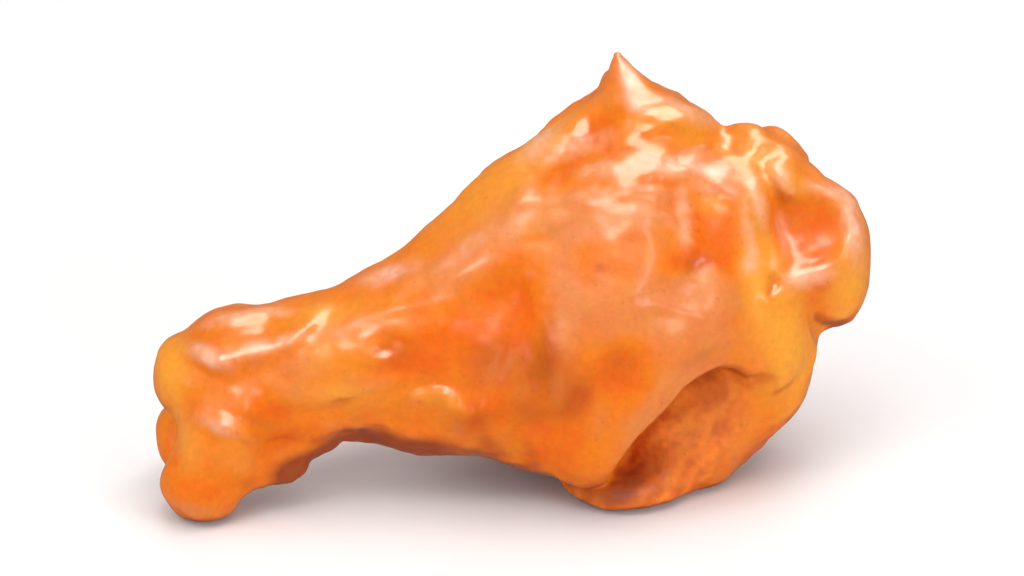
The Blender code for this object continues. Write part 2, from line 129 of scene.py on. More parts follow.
# Ridges (+) and creases (-) of the same face: along, up, half width, height.
FACE_LINES = [
    [(-40.0, 22.8, 1.4, 0), (-37.2, 24.4, 1.4, .6), (-33.0, 25.4, 1.4, .8), (-28.5, 25.8, 1.4, .6), (-25.0, 26.0, 1.4, 0)],
    [(-39, 20.5, 1.3, .4), (-36.5, 20, 1.3, 1.0), (-34, 19, 1.3, .7), (-32.5, 18, 1.2, 0)],
    [(-34.5, 19.5, 1.3, .5), (-31, 20.2, 1.3, .9), (-27, 21.8, 1.2, .8), (-24, 24.6, 1.2, .6), (-22, 27, 1.2, 0)],
    [(-31.5, 13.4, 1.1, 0), (-27.5, 13.2, 1.1, -.7), (-21, 13.6, 1.2, -.5), (-16.5, 14.8, 1.2, 0)],
    [(-37.5, 16.0, 1.7, .3), (-38.2, 12, 1.7, .6), (-39.5, 8, 1.8, .4), (-40, 4, 1.8, 0)],
    [(-13.8, 12.3, 1.0, 0), (-11.4, 14.8, 1.0, .6), (-8.2, 15.2, 1.0, .7), (-6.3, 13.2, 1.0, .6), (-6.6, 10.6, 1.0, 0)],
    [(3.0, 34, 2.6, 0), (4.2, 28, 2.6, .8), (5.4, 21, 2.4, 1.0), (6.0, 15.5, 1.8, .8), (6.5, 12, 1.8, 0)],
    [(29.0, 44, 1.3, .2), (29.9, 39.5, 1.3, .7), (31.2, 35.8, 1.2, .6), (33.0, 31.8, 1.2, .5), (31.0, 26.6, 1.2, .7), (31.4, 22.6, 1.3, .2)],
    [(34.0, 33.0, 1.1, -.1), (32.2, 29.4, 1.1, -.6), (32.4, 25.5, 1.1, -.2)],
    [(34.0, 40.0, 1.4, .5), (37.5, 40.0, 1.4, .8), (41.0, 38.4, 1.5, .9), (41.7, 34.8, 1.5, 1.0), (40.4, 31.4, 1.5, .9), (38.0, 29.0, 1.4, .4)],
        [(8, 38, 2.0, 0), (13, 41, 2.0, .2), (18, 42.6, 2.0, .1)],
    [(12.6, 55.6, 1.2, .1), (10.8, 52.2, 1.3, .4), (7.8, 49.0, 1.4, .4), (5, 46.2, 1.4, .1)],
    [(13.2, 55.6, 1.2, .1), (16.4, 52.0, 1.3, .4), (21, 49.4, 1.4, .5), (27, 48.4, 1.4, .2)],
]
# The same for the back, square from behind: x, z, half length, half width, turn, height.
BACK_PITS = [
    (8, 40, 4.0, 2.6, 35, -1.2), (-4, 27, 3.4, 2.2, 30, -1.0), (22, 36, 3.2, 2.4, -30, -1.1),
    (12, 20, 4.6, 2.8, -20, -1.2), (25, 20, 2.4, 3.4, 0, -1.0), (-1, 19, 2.6, 1.6, 20, -0.8),
    (-22, 14, 3.8, 1.6, 15, -0.7), (-34, 19, 2.6, 1.5, 0, -0.8), (16, 30, 4, 2, 10, 0.6),
    (-14, 22, 5, 2, 30, 0.5),
]
BACK_LINES = [
    [(-30, 16, 1.3, 0), (-22, 18, 1.3, .7), (-14, 20.5, 1.3, .6), (-8, 21, 1.2, 0)],
    [(-2, 36, 1.3, 0), (4, 38, 1.4, .8), (9, 42, 1.4, .7), (13, 46, 1.2, 0)],
    [(18, 40, 1.2, 0), (20, 34, 1.3, .7), (26, 30, 1.3, .8), (30, 24, 1.2, .3)],
    [(2, 24, 1.2, 0), (8, 25, 1.2, -.7), (14, 23, 1.2, -.7), (19, 18, 1.2, 0)],
]
# And for the thick end, square from +X: y, z.
END_PITS = [
    (9, 12, 3.0, 1.8, 60, -0.8), (17, 6, 4.0, 1.8, 0, -0.7), (31, 22, 3.4, 1.8, 70, -0.8),
    (26, 9, 3.0, 2.0, 20, -0.8), (20, 14, 2.2, 3.6, 10, 0.6), (29, 30, 3.0, 2.0, 0, -0.7),
]
END_LINES = [
    [(24, 34, 1.2, 0), (26, 28, 1.2, .7), (25, 21, 1.2, .8), (27, 14, 1.2, .5), (25, 9, 1.2, 0)],
    [(10, 22, 1.2, 0), (12, 17, 1.2, .6), (10, 12, 1.2, .5), (12, 7, 1.2, 0)],
]

UP, IN = math.cos(math.radians(FACE_LEAN)), math.sin(math.radians(FACE_LEAN))


# ------------------------------------------------------- the blended surface
def turned(turn):
    return Euler([math.radians(a) for a in turn], "ZYX").to_matrix()


def distance(p, part):
    """about how far points p (n x 3, mm) are outside one lobe or limb"""
    if part["kind"] == "lobe":
        q = (p - np.array(part["at"])) @ np.array(turned(part["turn"]))
        r = np.array(part["radii"])
        k0 = np.sqrt(((q / r) ** 2).sum(-1))
        k1 = np.sqrt(((q / (r * r)) ** 2).sum(-1))
        return k0 * (k0 - 1) / np.maximum(k1, 1e-6)
    a, b = np.array(part["a"], float), np.array(part["b"], float)
    ab = b - a
    t = np.clip(((p - a) @ ab) / float(ab @ ab), 0, 1)
    d = p - a - t[:, None] * ab
    return np.sqrt((d * d).sum(-1)) - (part["ra"] + (part["rb"] - part["ra"]) * t)


def joined(a, b, k):
    h = np.clip(0.5 + 0.5 * (b - a) / k, 0, 1)
    return b + (a - b) * h - k * h * (1 - h)


def blended(p, parts, d=None):
    for part in parts:
        e = distance(p, part)
        d = e if d is None else joined(d, e, part["blend"])
    return d


def ease(a, b, x):
    t = np.clip((x - a) / (b - a), 0, 1)
    return t * t * (3 - 2 * t)


def pit_height(u, v, c):
    a = math.radians(c[4])
    du, dv = u - c[0], v - c[1]
    q, r = du * math.cos(a) + dv * math.sin(a), dv * math.cos(a) - du * math.sin(a)
    return c[5] * np.exp(-((q / c[2]) ** 2 + (r / c[3]) ** 2) ** 1.3)


def line_height(u, v, points):
    h, near = np.zeros_like(u), np.full_like(u, 1e9)
    for a, b in zip(points, points[1:]):
        du, dv = b[0] - a[0], b[1] - a[1]
        t = np.clip(((u - a[0]) * du + (v - a[1]) * dv) / (du * du + dv * dv), 0, 1)
        w = a[2] + (b[2] - a[2]) * t
        r = ((u - a[0] - du * t) ** 2 + (v - a[1] - dv * t) ** 2) / (w * w)
        h = np.where(r < near, (a[3] + (b[3] - a[3]) * t) * np.exp(-np.minimum(r, 40)), h)
        near = np.minimum(near, r)
    return h


def relief(p):
    """height of the folds and hollows over the plain lobes"""
    x, y, z = p[:, 0], p[:, 1], p[:, 2]
    v = z * UP + y * IN
    face = sum(pit_height(x, v, c) for c in FACE_PITS) + sum(line_height(x, v, s) for s in FACE_LINES)
    middle = 1.0 + 5.0 * ease(-38, 2, x)
    face = face * (1 - ease(middle - 1, middle + 4, y * UP - z * IN))
    back = sum(pit_height(x, z, c) for c in BACK_PITS) + sum(line_height(x, z, s) for s in BACK_LINES)
    middle = 10 + 9 * ease(-36, 4, x)
    back = back * ease(middle, middle + 5, y)
    end = sum(pit_height(y, z, c) for c in END_PITS) + sum(line_height(y, z, s) for s in END_LINES)
    return face + back + end * ease(25, 32, x + 0.35 * (y - 17))


def rolling(p):
    """a slow uneven swell made of nine crossed waves"""
    r = np.random.RandomState(3)
    s = np.zeros(len(p))
    for _ in range(9):
        n = r.normal(size=3)
        n /= np.linalg.norm(n)
        w = r.uniform(0.7, 1.4) / ROLL_LENGTH
        s += np.sin(p @ (n * w * 2 * math.pi) + r.uniform(0, 6.28))
    return s / 3.0


def surface(p):
    x, z = p[:, 0], p[:, 2]
    d = blended(p, CORE)
    d = -joined(-d, distance(p, OPENING), OPENING["blend"])
    d = joined(d, blended(p, FILL), 0.7 + 6 * ease(22, 30, x) * ease(10, 20, z))
    d = joined(d, blended(p, EAR), 1.2 + 3 * (1 - ease(17, 21, z)))
    d = blended(p, KNUCKLE, d)
    return d - relief(p) - ROLL * rolling(p) * ease(0, 4, z)



# ------------------------------------------------------------- fine relief
# Only in the visible skin: too small for the solid.  Same layout as above.
FINE_PITS = [
    (-33.8, 11.4, 2.0, 1.0, -30, 0.4), (-33.8, 4.8, 2.2, 1.3, -40, -0.3),
    (-15.6, 20.8, 1.0, 0.7, 20, -0.3), (-13.6, 22.0, 0.9, 0.6, -30, -0.25),
    (2.6, 17.6, 1.0, 0.7, 80, -0.25), (3.8, 15.2, 0.9, 0.6, 40, -0.2), (8.6, 15.6, 1.0, 0.7, 50, -0.2),
    (22.4, 30.0, 1.3, 0.6, -60, -0.12), (10.6, 30.3, 0.6, 0.5, 0, -0.05), (16.8, 16.4, 1.2, 0.5, 80, -0.2),
    (29.2, 14.8, 3.0, 1.8, 60, -0.4), (5.5, 27.0, 1.0, 0.7, 0, -0.15), (-2.0, 27.5, 1.2, 0.7, 30, -0.15),
    (14.5, 34.0, 1.4, 0.8, 10, -0.15), (-22.0, 17.0, 1.6, 0.8, 10, -0.25), (-27.0, 17.2, 1.4, 0.8, -10, -0.2),
    (0.5, 38.5, 2.2, 1.0, 45, 0.35), (5.0, 36.0, 1.8, 1.0, 30, 0.25), (18.8, 49.6, 1.9, 1.0, -30, 0.35),
    (30.5, 46.0, 1.2, 1.6, -20, 0.35), (33.6, 43.6, 1.4, 0.8, -40, 0.35), (36.4, 41.0, 1.3, 0.8, -40, 0.3),
    (27.8, 43.4, 1.6, 0.8, -20, 0.3), (-24.0, 11.0, 2.4, 1.2, 10, 0.25),
    (34.6, 16.4, 1.0, 2.6, -28, -0.3), (40.0, 27.5, 1.6, 2.2, 20, -0.3), (26.8, 24.4, 1.6, 1.0, 40, -0.15),
    (13.0, 12.0, 1.6, 1.0, 60, 0.2), (-6.0, 29.8, 2.4, 1.1, 30, 0.3), (-12.5, 28.4, 2.2, 0.9, 25, 0.3),
    (11.4, 31.3, 2.6, 1.6, 0, 0.2), (-31.8, 22.2, 4.8, 1.9, 12, 0.5),
]
# Patches of colour on the same face plane: along, up, half length, half width, turn and strength. Thick sauce; thin
# sauce with a painted sheen; amber painted light where rims and top catch more light; painted highlights; browned
# flecks with patches of painted shade; dark meat bits under painted shade in the cavity and along the under edges.
THICK_AT = [
    (0.5, 25.0, 7.0, 3.6, 78, 1.0), (-8.2, 22.0, 5.6, 3.9, 40, 1.1), (-2.5, 13.0, 5.0, 2.2, -6, 0.7),
    (5.2, 9.6, 5.2, 4.0, 62, 0.9), (12.8, 18.2, 4.0, 3.3, 60, 1.2), (24.6, 35.2, 4.6, 3.2, 98, 2.2),
    (20.4, 31.4, 2.9, 1.5, 12, 1.0), (37.0, 34.8, 3.0, 2.6, 0, 0.7), (-27.0, 11.0, 5.0, 1.8, -8, 0.6),
    (-37.6, 3.8, 3.0, 1.6, -10, 0.9), (-42.0, 9.6, 3.2, 1.6, 90, 0.6),
    (17.6, 47.8, 3.4, 1.9, -12, 0.5), (26.4, 46.4, 2.8, 1.9, -40, 0.4), (10.4, 47.2, 3.8, 2.0, 24, 0.8),
    (5.4, 41.6, 3.0, 1.6, 20, 0.6), (-18.4, 20.0, 3.6, 2.2, 10, 0.5), (-12.6, 20.4, 3.0, 2.2, 10, 0.7),
    (16.5, 41.2, 1.8, 1.0, 0, 0.6), (-30.4, 14.0, 3.0, 1.5, 0, 0.6), (23.6, 13.0, 2.0, 1.2, 60, 0.2),
]
# Thin sauce, with a painted pinkish sheen laid over the face.
THIN_SAUCE_AND_SHEEN_AT = [
    (19.0, 25.0, 10.0, 6.0, 10, 1.0), (6.2, 28.0, 8.0, 2.2, 98, 0.8), (12.0, 37.5, 10.0, 3.2, 5, 0.9),
    (-27.0, 18.5, 6.0, 2.4, 5, 0.5), (-3.5, 33.5, 9.0, 3.2, 42, 0.9), (18.0, 15.0, 6.0, 1.8, 48, 0.7),
    (10.4, 13.0, 3.0, 1.2, 80, 0.4), (-24.5, 15.6, 3.4, 1.4, 0, 0.4), (-38.6, 1.6, 2.0, 1.0, 0, 0.6),
]
# Painted light: a lighter yellow-orange where the rims and top catch more light.
AMBER_PAINTED_LIGHT_AT = [
    (-33.6, 8.4, 3.2, 1.8, -24, 0.5), (-38.6, 9.0, 2.0, 2.4, 0, 0.5), (30.5, 15.2, 4.4, 2.2, 60, 0.35),
    (24.0, 38.4, 2.2, 1.5, 0, 0.8), (-22.0, 15.0, 4.0, 1.8, 0, 0.4),
    (33.6, 21.0, 8.5, 3.8, 104, 1.2), (29.6, 31.0, 7.5, 2.4, 96, 1.0), (-41.4, 19.0, 4.2, 2.6, 95, 1.2),
    (41.0, 28.6, 6.5, 2.4, 76, 1.1), (-40.6, 12.0, 3.6, 1.7, 90, 0.6), (30.4, 43.5, 6.0, 3.0, -40, 0.9),
    (-17.0, 15.2, 8.0, 1.8, 4, 0.3), (-0.5, 42.0, 12.0, 2.6, 41, 0.9), (-21.6, 19.0, 4.0, 3.4, 0, 0.5),
    (-23.0, 25.0, 6.0, 1.6, 8, 0.7), (20.0, 48.0, 7.0, 2.6, -14, 0.6), (-8.6, 14.4, 3.0, 1.2, 0, 0.4),
    (2.6, 37.0, 3.4, 2.0, 30, 0.3),
]
# Painted highlights: pale peach spots where the glaze shines.
PAINTED_HIGHLIGHT_AT = [
    (25.2, 40.2, 3.4, 0.8, -8, 0.8), (20.6, 37.0, 3.6, 0.9, 96, 0.8), (28.6, 34.6, 4.0, 0.8, 100, 0.7),
    (28.6, 31.2, 1.6, 0.9, 60, 0.7), (11.0, 35.4, 5.0, 1.4, 12, 0.25),
    (19.6, 43.0, 5.4, 1.3, -6, 1.0), (25.6, 42.0, 3.6, 1.2, -10, 0.5), (7.4, 45.3, 4.6, 1.1, 16, 0.9),
    (11.4, 42.4, 3.2, 0.9, 6, 0.8), (14.4, 53.0, 1.2, 3.4, 14, 1.0), (21.5, 49.4, 4.0, 1.1, -24, 0.7),
    (3.6, 46.2, 3.2, 1.0, 40, 1.0), (29.8, 38.6, 3.2, 0.9, 104, 0.8), (32.6, 41.6, 2.6, 1.0, -60, 0.7),
    (41.3, 36.0, 4.0, 1.2, 96, 1.3), (36.0, 29.6, 2.8, 1.2, 10, 1.1), (38.6, 40.2, 2.8, 0.9, -12, 0.8),
    (-36.4, 19.9, 2.4, 0.9, -24, 1.2), (-29.0, 21.4, 4.6, 0.7, 16, 0.8), (-34.4, 24.4, 2.8, 0.7, 14, 0.9),
    (-29.4, 25.3, 2.6, 0.6, 2, 0.9),
    (-14.6, 30.0, 3.8, 1.0, 18, 1.0), (-35.4, 11.6, 2.0, 0.8, -28, 0.8), (-5.4, 33.0, 4.0, 1.0, 40, 0.5),
    (0.8, 36.2, 3.0, 1.0, 44, 0.5), (32.9, 34.6, 2.8, 0.7, 100, 0.7), (15.6, 50.2, 2.4, 1.0, -30, 0.6),
]
# Browned flecks, and wider patches of painted shade on the lower face.
BROWN_AND_SHADE_AT = [
    (3.4, 18.6, 4.4, 3.4, 50, 1.0), (7.6, 14.8, 3.0, 2.2, 60, 1.0), (-4.4, 12.4, 2.6, 1.5, 10, 0.9),
    (-2.6, 19.6, 3.4, 2.8, 60, 0.8), (12.8, 18.6, 2.4, 2.0, 60, 0.5), (22.2, 31.0, 2.0, 1.4, 30, 0.9),
    (-14.0, 20.6, 2.4, 1.6, 10, 0.7), (10.6, 30.4, 0.9, 0.8, 0, 0.7), (31.6, 28.0, 1.0, 0.7, 80, 0.7),
    (2.4, 13.4, 3.2, 1.6, 0, 0.8), (-10.4, 9.2, 5.0, 0.9, 0, 0.7), (14.0, 33.6, 1.4, 0.9, 20, 0.4),
    (-30.0, 12.0, 3.0, 1.0, -10, 0.5), (32.4, 39.4, 1.6, 0.6, 110, 0.7), (27.8, 44.4, 1.4, 0.5, -40, 0.6),
    (22.6, 44.8, 1.2, 0.5, 0, 0.5), (14.6, 45.2, 1.3, 0.5, 10, 0.5), (4.6, 22.6, 3.0, 0.9, 96, 0.6),
]
# Painted shade in the cavity and along the under edges, over darker meat bits.
DARK_MEAT_AND_SHADE_AT = [(-26.2, 5.9, 2.8, 1.7, 25, 2.2), (-22.0, 8.4, 2.8, 1.3, 25, 2.0), (-17.6, 9.8, 3.4, 1.1, 5, 1.8),
           (-11.0, 9.0, 4.4, 1.1, 0, 1.5), (14.2, 4.8, 3.2, 1.8, 50, 1.0), (11.8, 2.6, 4.6, 1.0, 0, 0.6), (22.6, 20.0, 3.0, 0.8, 20, 0.7)]
FINE_LINES = [
    [(-38.6, 22.8, .8, 0), (-35.8, 24.2, .8, .4), (-31.0, 25.0, .8, .4), (-27.0, 25.3, .8, 0)],
    [(-15.5, 27.8, 1.0, 0), (-12, 29.8, 1.0, .5), (-8, 30.8, 1.0, .3)],
    [(-6.6, 9.6, .7, 0), (-6.0, 12.2, .7, .4), (-3.6, 13.6, .7, .45), (-2.4, 11.2, .7, .1)],
    [(-1.2, 9.8, .7, 0), (.4, 12.4, .7, .4), (2.6, 13.6, .7, .2)],
    [(-29.5, 6.6, .8, 0), (-26.5, 9.2, .8, .4), (-21.5, 11.4, .8, .45), (-15.5, 12.0, .8, .4), (-11.5, 10.2, .8, .4), (-3.5, 8.4, .8, .1)],
    [(-41.2, 15, .7, -.2), (-41.0, 11, .7, -.6), (-40.6, 7, .7, -.5)],
    [(-12.8, 13.2, .6, .1), (-12.2, 15.0, .6, .4), (-9.6, 16.0, .6, .4), (-7.2, 15.0, .6, .4), (-7.6, 12.8, .6, .3), (-10.4, 12.0, .6, .1)],
    [(9.6, 5.8, 1.1, .1), (13.4, 9.4, 1.1, .4), (15.4, 13.2, 1.1, .45), (18.6, 16.8, 1.1, .4), (22.6, 20.0, 1.1, .2)],
    [(31.0, 30.4, .5, -.3), (31.9, 28.8, .5, -.9), (31.4, 27.4, .5, -.4)],
    [(37.0, 20.6, .7, -.1), (36.0, 17.6, .7, -.4), (33.8, 14.4, .7, -.3)],
    [(-24, 22.4, .8, 0), (-18, 24.8, .8, .35), (-12, 26.2, .8, .3), (-6, 26.8, .8, 0)],
    [(-22, 19.4, .7, 0), (-18, 18.2, .7, -.35), (-13, 18.4, .7, -.3), (-9, 20.2, .7, 0)],
    [(-25, 15.6, .6, 0), (-20, 15.4, .6, .3), (-15, 16.8, .6, .3), (-11, 17.6, .6, 0)],
    [(1.5, 30, .7, 0), (3.4, 25, .7, .3), (4.6, 19.6, .7, .3), (5.4, 15.4, .7, .1)],
    [(12.5, 24.8, .9, 0), (17.5, 26.2, .9, .3), (22.5, 25.0, .9, .25), (26.5, 22.0, .9, 0)],
    [(14, 37.6, .8, 0), (18.5, 36.4, .8, .35), (22, 33.6, .8, .3)],
    [(3, 38.8, .9, 0), (8, 38.4, .9, .25), (12.5, 38.0, .9, 0)],
    [(1.0, 44.0, 1.1, 0), (4.2, 45.7, 1.2, .6), (8.0, 47.0, 1.2, .5), (11.0, 47.6, 1.0, 0)],
    [(6.2, 41.6, 1.0, 0), (8.8, 42.5, 1.1, .5), (12.0, 43.0, 1.1, .5), (14.6, 43.6, 1.0, 0)],
    [(15.6, 41.6, 1.1, 0), (18.0, 42.3, 1.5, .5), (20.8, 42.2, 1.4, .4), (22.4, 41.6, 1.1, 0)],
    [(22.6, 42.0, 1.0, 0), (25.2, 41.2, 1.3, .3), (28.6, 40.0, 1.0, 0)],
    [(13.6, 48.4, .9, 0), (16.4, 49.2, .9, .45), (20.4, 47.8, 1.0, .45), (24.0, 46.4, 1.0, 0)],
    [(15.4, 39.4, .9, 0), (18.4, 39.2, .9, .3), (21.6, 38.6, .9, 0)],
    [(21.8, 48.8, .9, .2), (22.4, 46.6, .9, .5), (23.6, 44.4, .9, .4), (28.0, 43.6, .8, .4), (30, 41, .8, .1)],
    [(34.2, 31.4, .7, 0), (36.6, 31.6, .7, -.4), (38.6, 32.6, .7, -.2)],
    [(-37.6, 12.8, 1.0, .2), (-35.0, 11.7, 1.0, .9), (-32.2, 10.6, 1.0, .9), (-29.8, 9.6, 1.0, 0)],
    [(-39.4, 21.2, .9, .1), (-37.4, 20.5, 1.0, .9), (-35.0, 19.3, 1.0, .8), (-33.2, 18.4, .9, 0)],
    [(24.5, 12.5, .9, 0), (26.5, 9.5, .9, .3), (24, 6.5, .9, .2), (20, 4.8, .9, 0)],
]
# Long thin folds of the hidden sides, square from behind (x, z).
REAR_LINES = [
    [(-26, 13, .8, 0), (-20, 15, .8, .4), (-13, 15.6, .8, .4), (-7, 18, .8, 0)],
    [(-20, 20, .7, 0), (-14, 23, .7, -.4), (-8, 25.5, .7, -.3)],
    [(0, 30, .8, 0), (6, 33, .8, .45), (12, 33, .8, .4), (17, 30, .8, 0)],
    [(4, 13, .8, 0), (10, 15, .8, .4), (17, 14.4, .8, .4), (22, 10, .8, 0)],
    [(18, 24, .7, 0), (20, 28, .7, -.45), (24, 32, .7, -.3)],
    [(2, 42, .8, 0), (7, 45, .8, .4), (12, 47, .8, .2)],
    [(14, 38, .7, 0), (19, 39, .7, .4), (24, 38, .7, .3), (28, 34, .7, 0)],
    [(-38, 17, .8, 0), (-35, 19.5, .8, .5), (-31, 19, .8, .4), (-29, 16, .8, 0)],
    [(-4, 22, .6, 0), (1, 23, .6, .35), (5, 21, .6, .3), (8, 17, .6, 0)],
]
REAR_PITS = [
    (-18, 17.6, 1.6, .9, 20, -.45), (-9, 22, 1.4, .8, 40, -.4), (3, 27, 1.8, 1.0, 0, -.45), (15, 25, 1.6, 1.0, 60, -.45),
    (9, 9, 2.0, 1.0, 10, -.45), (20, 17, 1.6, 1.0, 80, -.4), (25, 29, 1.6, .9, -40, -.45), (10, 37, 1.8, 1.0, 20, -.4),
    (17, 43, 1.6, 1.0, -30, -.4), (-32, 12, 1.8, 1.0, 0, -.4), (0, 34.5, 1.6, .9, 40, .4), (14, 19, 1.8, .9, 0, .4),
]
def lattice(seed):
    r = np.random.RandomState(seed)
    g = r.normal(size=(4096, 3))
    return (g / np.linalg.norm(g, axis=1, keepdims=True)).astype(np.float32)


def ripple(p, size, seed):
    """gradient noise of about -1..1 with cells of the given size, mm"""
    g = lattice(seed)
    q = p / size + seed * 7.31
    i = np.floor(q).astype(np.int64)
    f = (q - i).astype(np.float32)
    w = f * f * f * (f * (f * 6 - 15) + 10)
    total = 0.0
    for a in (0, 1):
        for b in (0, 1):
            for c in (0, 1):
                o = np.array([a, b, c])
                j = i + o
                key = (j[:, 0] * 73856093) ^ (j[:, 1] * 19349663) ^ (j[:, 2] * 83492791)
                n = (g[key & 4095] * (f - o)).sum(1)
                total = total + n * np.where(a, w[:, 0], 1 - w[:, 0]) * np.where(b, w[:, 1], 1 - w[:, 1]) * np.where(c, w[:, 2], 1 - w[:, 2])
    return total * 1.6


def fine_skin(step):
    """the zero surface of surface() as quads of about the given size"""
    lo = np.array((-47.0, -7.0, -1.2))
    hi = np.array((47.0, 41.0, 55.0))
    many = 4
    coarse = step * many
    n = np.ceil((hi - lo) / coarse).astype(int)
    axes = [l + coarse * np.arange(m + 1) for l, m in zip(lo, n)]
    g = np.stack(np.meshgrid(*axes, indexing="ij"), -1).reshape(-1, 3)
    f = grounded(g).reshape([m + 1 for m in n])
    for axis in range(3):
        k = f.shape[axis]
        at = np.arange((k - 1) * many + 1) / many
        i0 = np.minimum(at.astype(int), k - 2)
        shape = [1, 1, 1]
        shape[axis] = -1
        w = (at - i0).reshape(shape)
        f = np.take(f, i0, axis) * (1 - w) + np.take(f, i0 + 1, axis) * w
    high = (lo[2] + step * np.arange(f.shape[2]) > 45)[None, None, :]
    near = np.abs(f) < coarse * np.where(high, 2.0, 0.9)
    at = np.argwhere(near)
    values = np.concatenate([grounded(part * step + lo) for part in np.array_split(at, 8)])
    f[near] = values
    inside = f < 0
    cells = tuple(m - 1 for m in f.shape)
    total, count = np.zeros(cells + (3,), np.float32), np.zeros(cells, np.float32)
    corner = lambda o: tuple(slice(o[d], o[d] + cells[d]) for d in range(3))
    for o in ((i, j, k) for i in (0, 1) for j in (0, 1) for k in (0, 1)):
        for axis in range(3):
            if o[axis]:
                continue
            o2 = tuple(o[d] + (d == axis) for d in range(3))
            fa, fb = f[corner(o)], f[corner(o2)]
            cross = (fa < 0) != (fb < 0)
            t = np.where(cross, fa / np.where(cross, fa - fb, 1), 0)
            for d in range(3):
                total[..., d] += cross * (o[d] + (t if d == axis else 0))
            count += cross
    used = count > 0
    index = -np.ones(cells, np.int64)
    index[used] = np.arange(used.sum())
    points = (np.argwhere(used) + total[used] / count[used][:, None]) * step + lo
    quads = []
    for axis in range(3):
        a, b = [slice(None)] * 3, [slice(None)] * 3
        a[axis], b[axis] = slice(0, f.shape[axis] - 1), slice(1, f.shape[axis])
        ia, ib = inside[tuple(a)], inside[tuple(b)]
        u, w = [d for d in range(3) if d != axis]
        if axis == 1:
            u, w = w, u
        e = np.argwhere(ia != ib)
        du, dw = np.eye(3, dtype=int)[u], np.eye(3, dtype=int)[w]
        q = np.stack([index[tuple((e - du - dw).T)], index[tuple((e - dw).T)], index[tuple(e.T)], index[tuple((e - du).T)]], 1)
        away = ~ia[tuple(e.T)]
        q[away] = q[away][:, ::-1]
        quads.append(q)
    return points.astype(float), np.concatenate(quads)


def grounded(p):
    """the wing's surface, softly flattened where it lies"""
    d, k = surface(p), 1.0
    e = -p[:, 2]
    return -joined(-d, -e, k)


def slope(fn, p, e=0.12):
    k = np.array([(1, -1, -1), (-1, -1, 1), (-1, 1, -1), (1, 1, 1)], float)
    return sum(o * fn(p + e * o)[:, None] for o in k) / (4 * e)


class Web:
    """neighbours of every corner of a quad skin"""

    def __init__(self, quads, count):
        e = np.concatenate([quads[:, [i, (i + 1) % 4]] for i in range(4)])
        e = np.unique(np.sort(e, 1), axis=0)
        e = np.concatenate([e, e[:, ::-1]])
        e = e[np.argsort(e[:, 0], kind="stable")]
        self.to = e[:, 1]
        self.start = np.searchsorted(e[:, 0], np.arange(count))
        self.many = np.diff(np.append(self.start, len(e)))[:, None].astype(float)

    def mean(self, a):
        one = a.ndim == 1
        a = a[:, None] if one else a
        m = np.add.reduceat(a[self.to], self.start, axis=0) / self.many
        return m[:, 0] if one else m

    def soften(self, a, rounds, share=0.7):
        for _ in range(rounds):
            a = a + share * (self.mean(a) - a)
        return a


def normals_of(p, quads):
    n = np.cross(p[quads[:, 2]] - p[quads[:, 0]], p[quads[:, 3]] - p[quads[:, 1]])
    s = np.stack([np.bincount(quads.ravel(), np.repeat(n[:, d], 4), len(p)) for d in range(3)], 1)
    return s / np.maximum(np.linalg.norm(s, axis=1, keepdims=True), 1e-12)


